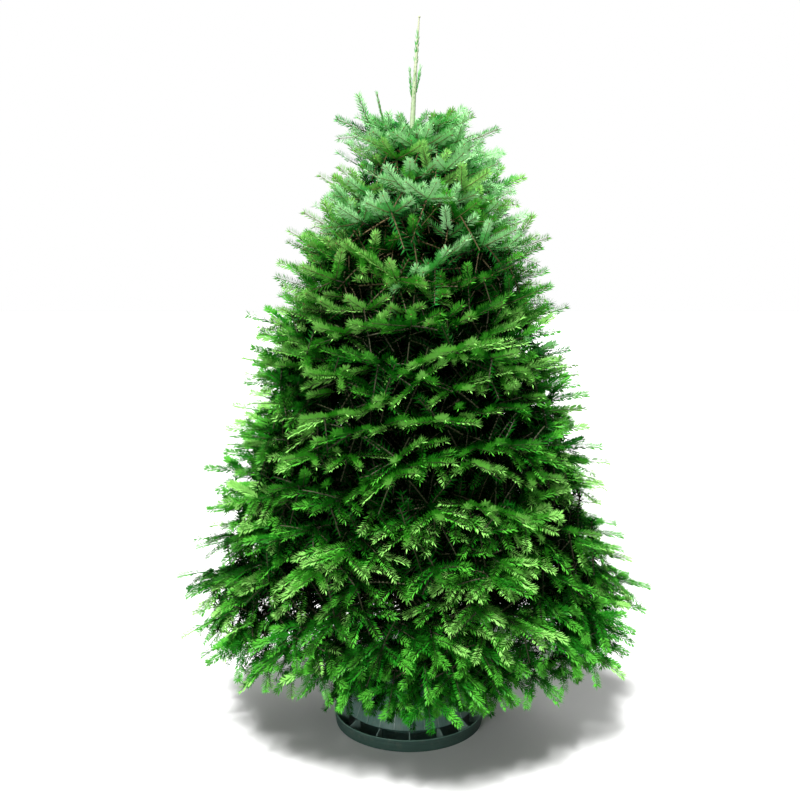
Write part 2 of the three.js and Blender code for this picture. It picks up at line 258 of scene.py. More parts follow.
def meshObject(name, vertices, faces, edges=()):
    mesh = bpy.data.meshes.new(name)
    mesh.from_pydata([tuple(v) for v in vertices], list(edges), [tuple(f) for f in faces])
    mesh.update()
    made = bpy.data.objects.new(name, mesh)
    scene.collection.objects.link(made)
    return made


def paint(piece, material):
    piece.data.materials.clear()
    piece.data.materials.append(material)


# Camera, lamps, backdrop and floor.
def setStudio():
    camera = bpy.data.objects.new("camera", bpy.data.cameras.new("camera"))
    camera.data.lens = studio["lens"]
    camera.location = (studio["cameraSide"], -studio["cameraDistance"], studio["cameraHeight"])
    camera.rotation_euler = (math.radians(90 - studio["pitchDown"]), 0, 0)
    scene.collection.objects.link(camera)
    scene.camera = camera
    for name, spot, softness, strength in studio["lamps"]:
        lamp = bpy.data.objects.new(name, bpy.data.lights.new(name, "SUN"))
        lamp.data.energy = strength
        lamp.data.angle = math.radians(softness)
        lamp.location = spot
        lamp.rotation_euler = Vector(spot).to_track_quat("Z", "Y").to_euler()
        scene.collection.objects.link(lamp)
    world = bpy.data.worlds.new("studio")
    world.use_nodes = True
    tree = world.node_tree
    sky = tree.nodes["Background"]
    sky.inputs["Color"].default_value = (*studio["backdrop"], 1)
    seen = place(tree, "ShaderNodeLightPath").outputs["Is Camera Ray"]
    strength = place(tree, "ShaderNodeMapRange", {
        "Value": seen, "To Min": studio["backdropLight"], "To Max": 1.0})
    tree.links.new(strength.outputs[0], sky.inputs["Strength"])
    scene.world = world
    scene.view_settings.view_transform = "Standard"
    half = studio["floorHalf"]
    floor = meshObject("floor", [(-half, -half, 0), (half, -half, 0), (half, half, 0), (-half, half, 0)],
                       [(0, 1, 2, 3)])
    floorPaint = bpy.data.materials.new("floorPaint")
    floorPaint.use_nodes = True
    tree = floorPaint.node_tree
    shader = tree.nodes["Principled BSDF"]
    shader.inputs["Roughness"].default_value = studio["floorRoughness"]
    seen = place(tree, "ShaderNodeLightPath").outputs["Is Camera Ray"]
    shade = mixed(tree, seen, (*studio["floorBounce"], 1), (*studio["floor"], 1))
    tree.links.new(shade, shader.inputs["Base Color"])
    paint(floor, floorPaint)


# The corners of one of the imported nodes.
def corners(node):
    mesh = frame["nodes"][node].data
    flat = np.zeros(len(mesh.vertices) * 3, np.float32)
    mesh.vertices.foreach_get("co", flat)
    return flat.reshape(-1, 3).astype(float)


# The trunk's centre line and radius by height, from the rings of its solid.
def readTrunk():
    points = corners("trunk")
    rows = []
    for z in np.unique(np.round(points[:, 2], 3)):
        ring = points[np.abs(points[:, 2] - z) < 6e-4]
        centre = (ring[:, :2].min(0) + ring[:, :2].max(0)) / 2
        rows.append((z, *centre, np.hypot(*(ring[:, :2] - centre).T).max()))
    return np.array(rows)


trunkRows = readTrunk()


def trunkCentre(z):
    return Vector((float(np.interp(z, trunkRows[:, 0], trunkRows[:, 1])),
                   float(np.interp(z, trunkRows[:, 0], trunkRows[:, 2])), z))


def trunkRadius(z):
    return float(np.interp(z, trunkRows[:, 0], trunkRows[:, 3]))


# steps of azimuth and height, and how far out the rays towards the trunk start
sampling = {"azimuths": 72, "heights": 64, "inset": 0.004, "far": 1.5}


# How far the crown reaches from the trunk's line, for steps of azimuth and height.
def readOutline():
    vertices, faces = [], []
    for name, node in frame["nodes"].items():
        if "_foliage_" in name:
            base = len(vertices)
            vertices += [v.co for v in node.data.vertices]
            faces += [[base + i for i in p.vertices] for p in node.data.polygons]
    solid = BVHTree.FromPolygons(vertices, faces)
    inset = sampling["inset"]
    heights = np.linspace(min(v.z for v in vertices) + inset, max(v.z for v in vertices) - inset,
                          sampling["heights"])
    far = sampling["far"]
    table = np.zeros((len(heights), sampling["azimuths"]))
    for i, z in enumerate(heights):
        for j in range(table.shape[1]):
            angle = 2 * math.pi * j / table.shape[1]
            out = Vector((math.cos(angle), math.sin(angle), 0))
            hit = solid.ray_cast(trunkCentre(z) + out * far, -out)
            table[i, j] = far - hit[3] if hit[0] else 0.0
    # the gaps between the masses are filled from their neighbours, then the whole is smoothed
    for _ in range(2):
        wide = np.maximum(np.maximum(table, np.roll(table, 1, 1)), np.roll(table, -1, 1))
        tall = wide.copy()
        tall[1:] = np.maximum(tall[1:], wide[:-1])
        tall[:-1] = np.maximum(tall[:-1], wide[1:])
        table = tall
    for _ in range(2):
        table = (table + np.roll(table, 1, 1) + np.roll(table, -1, 1)) / 3
        table[1:-1] = (table[2:] + table[1:-1] + table[:-2]) / 3
    return heights, table


outlineHeights, outlineTable = readOutline()


def crownReach(azimuth, z):
    count = outlineTable.shape[1]
    turn = (azimuth / (2 * math.pi) * count) % count
    j = int(turn)
    share = turn - j
    column = outlineTable[:, j % count] * (1 - share) + outlineTable[:, (j + 1) % count] * share
    return float(np.interp(z, outlineHeights, column))


def byHeight(name, z):
    return float(np.interp(z, growth["heights"], growth[name]))


# Shoots carry the needles, limbs are the bare wood of the boughs.
rng = random.Random(growth["seed"])
shoots = []
limbs = []


def unit(v):
    return v.normalized() if v.length > 1e-9 else Vector((0, 0, 1))


def turnedAbout(v, axis, degrees):
    return Matrix.Rotation(math.radians(degrees), 3, axis) @ v


# what deals the tints: depths inside the crown from which shoots take the near-black painted-shade tint, and
# their shares there, then steps of lightness from 0 to 1
tinting = {
    "paintedShadeFrom": 0.16, "paintedShadeOld": 0.75, "innerFrom": 0.20, "paintedShadeInner": 0.50,
    "bySpray": 0.65, "byShoot": 0.35,  # how much of the lightness is a spray's, and how much a shoot's own
    "secondYear": 0.62, "blueFrom": 0.22, "frostedFrom": 0.80,
    # the hem's sprays take the dark old tint more often: painted shade under the crown
    "midFrom": 0.12, "hemPaintedShadeMidFrom": 0.40, "freshFrom": 0.48, "brightFrom": 0.86,
}


def chooseTint(age, depth, style):
    waxy = style["waxy"]
    old = "blueOld" if waxy else "old"
    # deep inside the crown the near-black tint is painted shade, standing in for the shade that falls there
    if age > 3:
        return "deep" if depth > tinting["paintedShadeFrom"] and rng.random() < tinting["paintedShadeOld"] else old
    if age == 3 or depth > tinting["innerFrom"]:
        return "deep" if rng.random() < tinting["paintedShadeInner"] else old
    # the spray's share of the lightness carries the painted shade by height
    pick = style["lightnessAndPaintedShade"] * tinting["bySpray"] + rng.random() * tinting["byShoot"]
    if age == 2:
        return old if pick < tinting["secondYear"] else ("blue" if waxy else "mid")
    if waxy:
        return old if pick < tinting["blueFrom"] else ("blue" if pick < tinting["frostedFrom"] else "frosted")
    if pick < style["midFrom"]:
        return old
    return "mid" if pick < tinting["freshFrom"] else ("fresh" if pick < tinting["brightFrom"] else "bright")


# The tint of a shoot's last third, lighter on this year's shoots.
def tipTint(tint, age):
    lighter = {"old": "mid", "mid": "fresh", "fresh": "bright", "blueOld": "blue", "blue": "frosted"}
    return lighter.get(tint, tint) if age == 1 else tint


# One year's wood with its needles, bent a little up or down along its length.
def addShoot(start, heading, flatUp, length, lift, age, size, style, wood, kind=None):
    bend = flatUp * 0.3 + upward * 0.7
    depth = min(crownRoom(start + heading * length * 0.5), style["mostDepth"])
    gap = growth["station"] * float(np.interp(depth, growth["depths"], growth["thinning"]))
    points = [start + heading * (length * t) + bend * (lift * length * t * t) for t in (0, 0.34, 0.67, 1)]
    tint = chooseTint(age, depth, style)
    shoots.append({
        "points": points, "up": flatUp, "size": size,
        "gap": growth["shadeStation"] if kind == "shade" else gap,
        "tint": tint, "tipTint": tipTint(tint, age), "age": age, "part": style["part"], "wood": wood,
        "kind": kind or ("brush" if start.z > growth["brushFrom"] else "parted"),
        "radius": growth["woodRadius"] + growth["woodPerYear"] * (min(age, 3) - 1),
    })
    return points[-1], unit(points[-1] - points[-2])


def clearOfFloor(point):
    return point.z > float(np.interp(math.hypot(point.x, point.y), growth["clearAt"], growth["clear"]))


def crownCentre(z):
    return trunkCentre(z) + Vector((byHeight("shift", z), 0, 0))


def crownRoom(point):
    centre = crownCentre(point.z)
    out = point - centre
    return crownReach(math.atan2(out.y, out.x), point.z) + growth["margin"] - math.hypot(out.x, out.y)


# A side branch: a shoot for each year it has grown, with paired forks at each year's end.
def growSide(start, heading, flatUp, years, order, length, style):
    for year in range(years, 0, -1):
        reach = length * rng.uniform(0.86, 1.12)
        for _ in range(5):
            end = start + heading * reach + upward * (min(style["lift"], 0) * reach)
            if crownRoom(end) + style["room"] > 0 and clearOfFloor(end):
                break
            reach *= growth["shorten"]
            heading = unit(heading + upward * (-0.02 if clearOfFloor(end) else 0.16))
        if reach < growth["shortest"]:
            return
        size = style["size"] * rng.uniform(0.92, 1.06) * (1 if order < 3 else 0.94)
        start, heading = addShoot(start, heading, flatUp, reach, style["lift"] * (0.6 if year > 1 else 1.0),
                                  year, size, style, True)
        if year > 1:
            midForks(start, heading, reach, flatUp, order + 1, length, style)
            fork(start, heading, flatUp, year - 1, order + 1, length * growth["sideShare"], style)
        heading = unit(heading + sway(0.06))


# Shorter side shoots half way along the year's wood that ends at end.
def midForks(end, heading, reach, flatUp, order, length, style):
    depth = min(crownRoom(end), style["mostDepth"])
    share = float(np.interp(depth, growth["depths"], growth["forkShare"]))
    for side in (-1, 1):
        if rng.random() < growth["midForks"] * share:
            spot = end - heading * reach * rng.uniform(0.35, 0.65)
            out = turnedAbout(heading, flatUp, side * rng.uniform(*growth["midAngles"]))
            out += flatUp * rng.uniform(-0.1, 0.2)
            growSide(spot, unit(out - upward * style["droop"]), flatUp, 1, order,
                     length * rng.uniform(0.7, 0.95), style)


def sway(amount):
    return Vector((rng.gauss(0, amount), rng.gauss(0, amount), rng.gauss(0, amount * 0.7)))


def fork(start, heading, flatUp, years, order, length, style):
    for side in (-1, 1):
        if order > 1 and rng.random() < growth["missingFork"]:
            continue
        scatter = growth["forkScatter"]
        out = turnedAbout(heading, flatUp, side * (growth["forkAngle"] + rng.uniform(-scatter, scatter)))
        out = unit(out + flatUp * rng.uniform(-0.12, 0.16) - upward * style["droop"] + sway(0.04))
        across = unit(out.cross(flatUp).cross(out))
        across = unit(turnedAbout(across, out, rng.uniform(-12, 12)))
        growSide(start, out, across, years, order, length * rng.uniform(0.9, 1.05), style)


def raised(out, degrees):
    return unit(out * math.cos(math.radians(degrees)) + upward * math.sin(math.radians(degrees)))


# A main bough from the trunk to the crown's outline, and the flat spray that it carries.
def growBough(azimuth, tipZ, part, reach, room, shaded=True):
    out = Vector((math.cos(azimuth), math.sin(azimuth), 0))
    slope = byHeight("rise", tipZ) + rng.uniform(-growth["slopeScatter"], growth["slopeScatter"])
    rootZ = tipZ - reach * math.tan(math.radians(slope))
    rootZ = min(max(rootZ, growth["lowestRoot"]), growth["highestRoot"])
    foot = trunkCentre(rootZ)
    tip = crownCentre(tipZ) + out * reach
    tip.z = tipZ
    chord = (tip - foot).length
    start = foot + out * trunkRadius(rootZ) * 0.5
    leave = raised(out, slope + growth["leaveTilt"])
    arrive = raised(out, slope + growth["arriveTilt"])
    control = [start, start + leave * chord * growth["stiffness"],
               tip - arrive * chord * growth["stiffness"], tip]
    steps = growth["pathSteps"]
    path = [bezier(control, i / steps) for i in range(steps + 1)]
    lengths = [0.0]
    for a, b in zip(path, path[1:]):
        lengths.append(lengths[-1] + (b - a).length)
    total = lengths[-1]
    yearLength = byHeight("yearLength", tipZ)
    green = total * (1 - byHeight("bare", tipZ))
    years = min(max(round(green / yearLength), 1), growth["mostYears"])
    yearLength = min(green / years, yearLength * 1.2)

    def at(distance):
        return Vector([float(np.interp(distance, lengths, [p[k] for p in path])) for k in range(3)])

    flatUp = unit(leave.cross(upward).cross(leave))
    roll = rng.uniform(-1, 1) * byHeight("roll", tipZ)
    style = {"size": byHeight("needleSize", tipZ), "lift": byHeight("tipLift", tipZ),
             "droop": byHeight("droop", tipZ), "part": part, "room": room,
             "waxy": rng.random() < byHeight("waxy", tipZ), "lightnessAndPaintedShade": rng.random() * byHeight("lightnessAndPaintedShade", tipZ),
             "mostDepth": 1.0 if shaded else growth["hemDepth"],
             "midFrom": tinting["midFrom"] if shaded else tinting["hemPaintedShadeMidFrom"]}
    wood = []
    for i in range(growth["limbSteps"] + 1):
        share = i / growth["limbSteps"]
        spot = at(share * (total - yearLength))
        wood.append((spot, growth["woodRadius"] + growth["woodPerYear"] * (years + 1.5) * (1 - share) ** 0.8
                     + growth["collar"] * max(0, 1 - share * 9)))
    limbs.append({"path": wood, "part": part})
    if shaded and tipZ < growth["shadeBelow"]:
        growShade(at, total - yearLength * 0.7, flatUp, style)
    for year in range(years, 0, -1):
        near = at(total - year * yearLength)
        far = at(total - (year - 1) * yearLength)
        heading = unit(far - near)
        plane = unit(heading.cross(upward).cross(heading)) if abs(heading.z) < 0.98 else flatUp
        plane = turnedAbout(plane, heading, roll)
        reach = (far - near).length
        addShoot(near, heading, plane, reach, style["lift"] * (0.7 if year == 1 else 0), year, style["size"],
                 style, year == 1)
        if year > 1:
            midForks(far, heading, reach, plane, 1, yearLength, style)
            fork(far, heading, plane, min(year - 1, growth["sideYears"]), 1,
                 yearLength * growth["sideShare"], style)


# Shaded shoots all round the inner part of a bough; dealt as four years old, most take the near-black
# painted-shade tint.
def growShade(at, inner, flatUp, style):
    for i in range(int((inner - 0.03) / growth["shadeStep"])):
        along = inner - (i + rng.random()) * growth["shadeStep"]
        spot = at(along)
        ahead = unit(at(along + 0.02) - at(along - 0.02))
        for side in (0, 180):
            out = turnedAbout(flatUp, ahead, side + rng.uniform(-90, 90))
            out = unit(out + ahead * rng.uniform(0.1, 0.9))
            length = growth["shadeLength"] * rng.uniform(0.7, 1.3)
            end = spot + out * length
            if growth["shadeFloor"] < end.z < growth["shadeCeiling"] and crownRoom(end) > growth["shadeRoom"]:
                addShoot(spot, out, flatUp, length, -0.1, 4, style["size"] * growth["shadeSize"], style,
                         True, "shade")


# Sparse needles pressed to the leader, the two slim twigs beside it, and a cut stub by its foot.
def growLeader():
    style = {"part": "leader", "waxy": True, "lightnessAndPaintedShade": 0.55, "mostDepth": 1.0}
    low, high = leader["needlesFrom"], leader["needlesTo"]
    heights = [low + (high - low) * i / 3 for i in range(4)]
    front = Vector((0, -1, 0))
    for z0, z1 in zip(heights, heights[1:]):
        start = trunkCentre(z0)
        along = trunkCentre(z1) - start
        addShoot(start, unit(along), front, along.length, 0, 2, leader["needleSize"], style, False, "pressed")
        shoots[-1].update(gap=leader["gap"], tint="blue", tipTint="frosted")
    for node in leader["twigs"]:
        points = corners(node)
        foot = Vector(points[points[:, 2] < points[:, 2].min() + 0.006].mean(0))
        tip = Vector(points[points[:, 2] > points[:, 2].max() - 0.006].mean(0))
        addShoot(foot, unit(tip - foot), front, (tip - foot).length * leader["twigShare"], 0, 1,
                 leader["twigSize"], style, True, "pressed")
        shoots[-1].update(gap=leader["twigGap"], tint="blue", tipTint="frosted")
    foot, tip = (Vector(p) for p in leader["stub"])
    addShoot(foot, unit(tip - foot), front, (tip - foot).length, 0, 1, leader["stubSize"], style, True,
             "pressed")
    shoots[-1].update(gap=leader["twigGap"], tint="blue", tipTint="frosted", radius=leader["stubRadius"])


def bezier(p, t):
    s = 1 - t
    return p[0] * s ** 3 + p[1] * (3 * s * s * t) + p[2] * (3 * s * t * t) + p[3] * t ** 3


def partFor(whorl, azimuth):
    return f"{whorl}_{'front' if math.sin(azimuth) < 0 else 'back'}"


# Heights where one whorl's foliage passes into the next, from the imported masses.
def whorlTops():
    tops = []
    for name in whorls:
        boxes = [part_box(n) for n in frame["nodes"] if n.startswith(f"{name}_foliage_")]
        tops.append((name, sum(b[1].z for b in boxes) / len(boxes)))
    return tops


def growCrown():
    tops = whorlTops()

    def whorlAt(height):
        return next((name for name, top in tops if height < top), whorls[-1])

    for degrees, reach, tipZ in growth["crownTips"] + growth["rimTips"]:
        turn = math.radians(degrees)
        growBough(turn, tipZ, partFor(whorlAt(tipZ), turn), reach, growth["rimRoom"])
    count, reach, tipZ = growth["hem"]
    for i in range(count):
        turn = math.tau * (i + rng.uniform(-0.25, 0.25)) / count
        growBough(turn, tipZ + rng.uniform(-0.035, 0.035), partFor(whorls[0], turn),
                  reach * rng.uniform(0.9, 1.15), growth["rimRoom"], False)
    z = growth["tipsBelow"]
    azimuth = 0.0
    step = 0.05
    while z > growth["tipsAbove"]:
        azimuth += math.pi * (3 - math.sqrt(5))
        reach = np.mean([crownReach(a * math.pi / 6, z) for a in range(12)])
        below = np.mean([crownReach(a * math.pi / 6, z - step) for a in range(12)])
        slant = math.hypot(step, below - reach) / step
        z -= byHeight("sprayArea", z) / (2 * math.pi * max(reach, 0.05) * slant)
        turn = azimuth + rng.uniform(-growth["turnScatter"], growth["turnScatter"])
        height = z + rng.uniform(-growth["heightScatter"], growth["heightScatter"])
        reach = crownReach(turn, height) * rng.uniform(*growth["reach"])
        growBough(turn, height, partFor(whorlAt(height), turn), reach, growth["room"])
    print(f"crown: {len(limbs)} boughs, {len(shoots)} shoots")


# A ring of needles round a shoot that runs along Y with its upper side towards Z.
def tuftMesh(name, around, width, forward, scatter, spread, seed, plain=False):
    dealt = random.Random(seed)
    vertices, faces = [], []
    for angle in around:
        turn = math.radians(angle + dealt.uniform(-scatter, scatter))
        lean = math.radians(forward + dealt.uniform(-needle["leanScatter"], needle["leanScatter"]))
        radial = Vector((math.sin(turn), 0, math.cos(turn)))
        along = Vector((0, 1, 0)) * math.cos(lean) + radial * math.sin(lean)
        skyward = upward * 0.8 + radial * 0.6
        face = unit(skyward - along * skyward.dot(along))
        side = along.cross(face)
        length = needle["length"] * dealt.uniform(*needle["lengths"])
        base = radial * needle["stemRadius"] + Vector((0, spread * (dealt.random() - 0.5), 0))
        middle = base + along * length * 0.5 + face * width * needle["fold"]
        tip = base + along * length + face * length * needle["curve"]
        half = side * width / 2
        first = len(vertices)
        if plain:
            vertices += [base - half, base + half, tip]
            faces.append((first, first + 1, first + 2))
        else:
            vertices += [base, middle + half, tip, middle - half]
            faces += [(first, first + 1, first + 2), (first, first + 2, first + 3)]
    made = meshObject(name, vertices, faces)
    scene.collection.objects.unlink(made)
    return made


def tuftCollection(name, builders):
    made = bpy.data.collections.new(name)
    scene.collection.children.link(made)
    for tuft in builders:
        made.objects.link(tuft)
    return made


# Turns a piece made along Y to run with its shoot, upper side up.
def alongShoot(tree):
    tangent = place(tree, "GeometryNodeInputTangent")
    return place(tree, "FunctionNodeAxesToRotation",
                 {0: tangent.outputs[0], 1: attribute(tree, "up", "FLOAT_VECTOR")},
                 primary_axis="Y", secondary_axis="Z").outputs[0]


# Rings of needles along every shoot, a closed brush at each tip, and a tint for each spray.
def needleTree():
    tree, given, result = newGeometryTree("needlesOnShoots", [
        ("Rings", "NodeSocketCollection"), ("Ring Variants", "NodeSocketInt"),
        ("Tip Brushes", "NodeSocketCollection"),
        ("Turn Jitter", "NodeSocketFloat"), ("Size Jitter", "NodeSocketFloat"), ("Seed", "NodeSocketInt"),
    ])
    curves = place(tree, "GeometryNodeMeshToCurve", {"Mesh": given.outputs["Geometry"]})
    rings = place(tree, "GeometryNodeResampleCurve", {
        "Curve": curves.outputs[0], "Length": attribute(tree, "gap", "FLOAT")}, mode="LENGTH")
    turn = place(tree, "FunctionNodeRandomValue", {
        2: maths(tree, given.outputs["Turn Jitter"], -1.0), 3: given.outputs["Turn Jitter"],
        8: given.outputs["Seed"]}, data_type="FLOAT")
    euler = place(tree, "ShaderNodeCombineXYZ", {"Y": turn.outputs[1]})
    twist = place(tree, "FunctionNodeEulerToRotation", {0: euler.outputs[0]})
    rotated = place(tree, "FunctionNodeRotateRotation", {0: alongShoot(tree), 1: twist.outputs[0]},
                    rotation_space="LOCAL")
    vary = place(tree, "FunctionNodeRandomValue", {
        2: maths(tree, 1.0, given.outputs["Size Jitter"], "SUBTRACT"),
        3: maths(tree, 1.0, given.outputs["Size Jitter"], "ADD"), 8: needle["sizeSeed"]}, data_type="FLOAT")
    # needles are shorter where a shoot starts and where it ends
    along = place(tree, "GeometryNodeSplineParameter").outputs["Factor"]
    taper = place(tree, "ShaderNodeFloatCurve", {"Value": along})
    shape = taper.mapping.curves[0].points
    shape[0].location = needle["taper"][0]
    shape[1].location = needle["taper"][-1]
    for spot in needle["taper"][1:-1]:
        shape.new(*spot)
    scale = maths(tree, maths(tree, attribute(tree, "size", "FLOAT"), vary.outputs[1]), taper.outputs[0])
    outer = place(tree, "FunctionNodeCompare", {0: along, 1: needle["lightFrom"]}, data_type="FLOAT",
                  operation="GREATER_THAN")
    lightened = place(tree, "GeometryNodeStoreNamedAttribute", {
        "Geometry": rings.outputs[0], "Selection": outer.outputs[0], "Name": "tint",
        "Value": attribute(tree, "tipTint", "INT")}, data_type="INT", domain="POINT")
    tipped = place(tree, "GeometryNodeStoreNamedAttribute", {
        "Geometry": curves.outputs[0], "Name": "tint", "Value": attribute(tree, "tipTint", "INT")},
        data_type="INT", domain="POINT")
    first = maths(tree, attribute(tree, "kind", "INT"), given.outputs["Ring Variants"])
    groups = []
    litKinds = list(needle["kinds"]).index("shade")  # the kinds before this one end in a brush
    for label, count, source in (("Rings", needle["variants"], lightened),
                                 ("Tip Brushes", needle["brushes"], tipped)):
        pieces = place(tree, "GeometryNodeCollectionInfo", {0: given.outputs[label], 1: True, 2: True})
        which = place(tree, "FunctionNodeRandomValue", {4: 0, 5: count - 1, 8: needle["variantSeed"]},
                      data_type="INT").outputs[2]
        if label == "Rings":
            which = maths(tree, which, first, "ADD")
        made = place(tree, "GeometryNodeInstanceOnPoints", {
            "Points": source.outputs[0], "Instance": pieces.outputs[0], "Pick Instance": True,
            "Instance Index": which, "Rotation": rotated.outputs[0], "Scale": scale})
        if label == "Tip Brushes":
            ends = place(tree, "GeometryNodeCurveEndpointSelection", {0: 0, 1: 1})
            lit = place(tree, "FunctionNodeCompare", {2: attribute(tree, "kind", "INT"), 3: litKinds},
                        data_type="INT", operation="LESS_THAN")
            both = place(tree, "FunctionNodeBooleanMath", {0: ends.outputs[0], 1: lit.outputs[0]},
                         operation="AND")
            tree.links.new(both.outputs[0], made.inputs["Selection"])
        groups.append(made.outputs[0])
    last = place(tree, "GeometryNodeRealizeInstances", {0: joined(tree, *groups)}).outputs[0]
    tint = attribute(tree, "tint", "INT")
    for index, name in enumerate(needleTints):
        same = place(tree, "FunctionNodeCompare", {2: tint, 3: index}, data_type="INT", operation="EQUAL")
        last = place(tree, "GeometryNodeSetMaterial", {
            "Geometry": last, "Selection": same.outputs[0], "Material": needleMaterial(name)}).outputs[0]
    tree.links.new(last, result.inputs[0])
    return tree


def needleMaterial(name):
    label = f"needle{name[0].upper()}{name[1:]}"
    if label in bpy.data.materials:
        return bpy.data.materials[label]
    made = bpy.data.materials.new(label)
    made.use_nodes = True
    shader = made.node_tree.nodes["Principled BSDF"]
    shader.inputs["Base Color"].default_value = (*needleTints[name], 1)
    shader.inputs["Roughness"].default_value = needle["roughness"]
    shader.inputs["Specular IOR Level"].default_value = needleShine[name]
    return made


# Every shoot as its own chain of edges, with what the geometry tree has to know on its points.
def shootChains(name, chosen):
    points = [p for s in chosen for p in s["points"]]
    edges = [(4 * i + k, 4 * i + k + 1) for i in range(len(chosen)) for k in range(3)]
    made = meshObject(name, points, [], edges)
    tintIndex = {tint: i for i, tint in enumerate(needleTints)}
    put = made.data.attributes.new("up", "FLOAT_VECTOR", "POINT")
    put.data.foreach_set("vector", [c for s in chosen for _ in range(4) for c in s["up"]])
    for label, kind, value in (
        ("size", "FLOAT", lambda s, k: s["size"]),
        ("gap", "FLOAT", lambda s, k: s["gap"]),
        ("tint", "INT", lambda s, k: tintIndex[s["tint"]]),
        ("tipTint", "INT", lambda s, k: tintIndex[s["tipTint"]]),
        ("kind", "INT", lambda s, k: list(needle["kinds"]).index(s["kind"])),
        ("thick", "FLOAT", lambda s, k: s["radius"] - growth["woodPerYear"] * 0.8 * k / 3),
    ):
        put = made.data.attributes.new(label, kind, "POINT")
        put.data.foreach_set("value", [value(s, k) for s in chosen for k in range(4)])
    return made


def makeNeedles():
    spread = growth["station"] * 0.9
    # the rings' names put them in the order of their kinds
    rings = tuftCollection("needleRings", [
        tuftMesh(f"ring{order}_{i}", around, width, lean, scatter,
                 spread * (needle["pressedSpread"] if kind == "pressed" else 1),
                 needle["ringSeed"] + i, kind == "shade")
        for order, (kind, (around, width, lean, scatter)) in enumerate(needle["kinds"].items())
        for i in range(needle["variants"])])
    brushes = tuftCollection("tipBrushes", [
        tuftMesh(f"brush{i}", [360 / needle["tipCount"] * k for k in range(needle["tipCount"])],
                 needle["tipWidth"], needle["tipForward"], needle["tipScatter"], needle["tipSpread"],
                 needle["brushSeed"] + i)
        for i in range(needle["brushes"])])
    tree = needleTree()
    made = {}
    for part in [f"{whorl}_{half}" for whorl in whorls for half in ("front", "back")] + ["leader"]:
        chosen = [s for s in shoots if s["part"] == part]
        piece = shootChains("leader_needles" if part == "leader" else part.replace("_", "_needles_"), chosen)
        settle(piece, tree, {
            "Rings": rings, "Ring Variants": needle["variants"], "Tip Brushes": brushes,
            "Turn Jitter": needle["turnJitter"], "Size Jitter": needle["sizeJitter"], "Seed": growth["seed"]})
        made[part] = piece
        print(f"needles: {piece.name}, {len(chosen)} shoots, {len(piece.data.polygons)} faces")
    for group in (rings, brushes):
        for tuft in list(group.objects):
            bpy.data.objects.remove(tuft)
        bpy.data.collections.remove(group)
    return made


# Tubes along the shoots, as thick as their points say.
def twigTree():
    tree, given, result = newGeometryTree("twigsFromShoots", [
        ("Sides", "NodeSocketInt"), ("Wood", "NodeSocketMaterial")])
    curves = place(tree, "GeometryNodeMeshToCurve", {"Mesh": given.outputs["Geometry"]})
    ring = place(tree, "GeometryNodeCurvePrimitiveCircle", {
        "Resolution": given.outputs["Sides"], "Radius": 1.0})
    rods = place(tree, "GeometryNodeCurveToMesh", {
        "Curve": curves.outputs[0], "Profile Curve": ring.outputs[0],
        "Scale": attribute(tree, "thick", "FLOAT"), "Fill Caps": True})
    real = place(tree, "GeometryNodeRealizeInstances", {0: rods.outputs[0]})
    soft = place(tree, "GeometryNodeSetShadeSmooth", {0: real.outputs[0]})
    done = place(tree, "GeometryNodeSetMaterial", {
        "Geometry": soft.outputs[0], "Material": given.outputs["Wood"]})
    tree.links.new(done.outputs[0], result.inputs[0])
    return tree


def makeTwigs(wood):
    tree = twigTree()
    made = []
    for half in ("front", "back"):
        chosen = [s for s in shoots if s["wood"] and s["part"].endswith("back") == (half == "back")]
        piece = shootChains(f"twigs_{half}", chosen)
        settle(piece, tree, {"Sides": 4, "Wood": wood})
        paint(piece, wood)
        made.append(piece)
        print(f"twigs: {half}, {len(chosen)}, {len(piece.data.polygons)} faces")
    return made


# Tubes that follow paths of (point, radius), closed at both ends, with the bark's relief.
def tubes(name, paths, sides, relief):
    vertices, faces = [], []
    for path in paths:
        side = None
        rows = []
        for i, (spot, radius) in enumerate(path):
            ahead = path[min(i + 1, len(path) - 1)][0] - path[max(i - 1, 0)][0]
            along = unit(ahead)
            side = unit(along.cross(upward) if side is None and abs(along.z) < 0.95
                        else (Vector((1, 0, 0)) if side is None else side - along * side.dot(along)))
            over = along.cross(side)
            row = []
            for k in range(sides):
                angle = 2 * math.pi * k / sides
                out = side * math.cos(angle) + over * math.sin(angle)
                row.append(len(vertices))
                vertices.append(spot + out * (radius + relief(spot + out * radius, radius)))
            rows.append(row)
        for lower, upper in zip(rows, rows[1:]):
            for k in range(sides):
                n = (k + 1) % sides
                faces.append((lower[k], lower[n], upper[n], upper[k]))
        faces.append(tuple(reversed(rows[0])))
        faces.append(tuple(rows[-1]))
    made = meshObject(name, vertices, faces)
    made.data.shade_smooth()
    return made


timber = {
    "full": 0.03,  # the radius from which the relief has its full height
    "plateHeight": 0.0011, "blisterHeight": 0.0030, "blisterFrom": 0.25,
    "trunkRings": 420, "trunkSides": 72, "trunkShare": 0.985, "boughSides": 9,
    "stemRings": 60, "stemSides": 12, "stemShare": 0.9, "stemRelief": 0.0005, "stemGrain": 260,
    "overlap": 0.01, "tipInset": 0.002,
}


def barkRelief(point, radius):
    share = min(1.0, radius / timber["full"])
    plates = noise.noise(Vector((point.x * 60, point.y * 60, point.z * 26)))
    blisters = noise.noise(Vector((point.x * 130, point.y * 130, point.z * 150)))
    blisters = timber["blisterHeight"] * max(0.0, blisters - timber["blisterFrom"])
    return share * (timber["plateHeight"] * plates + blisters)


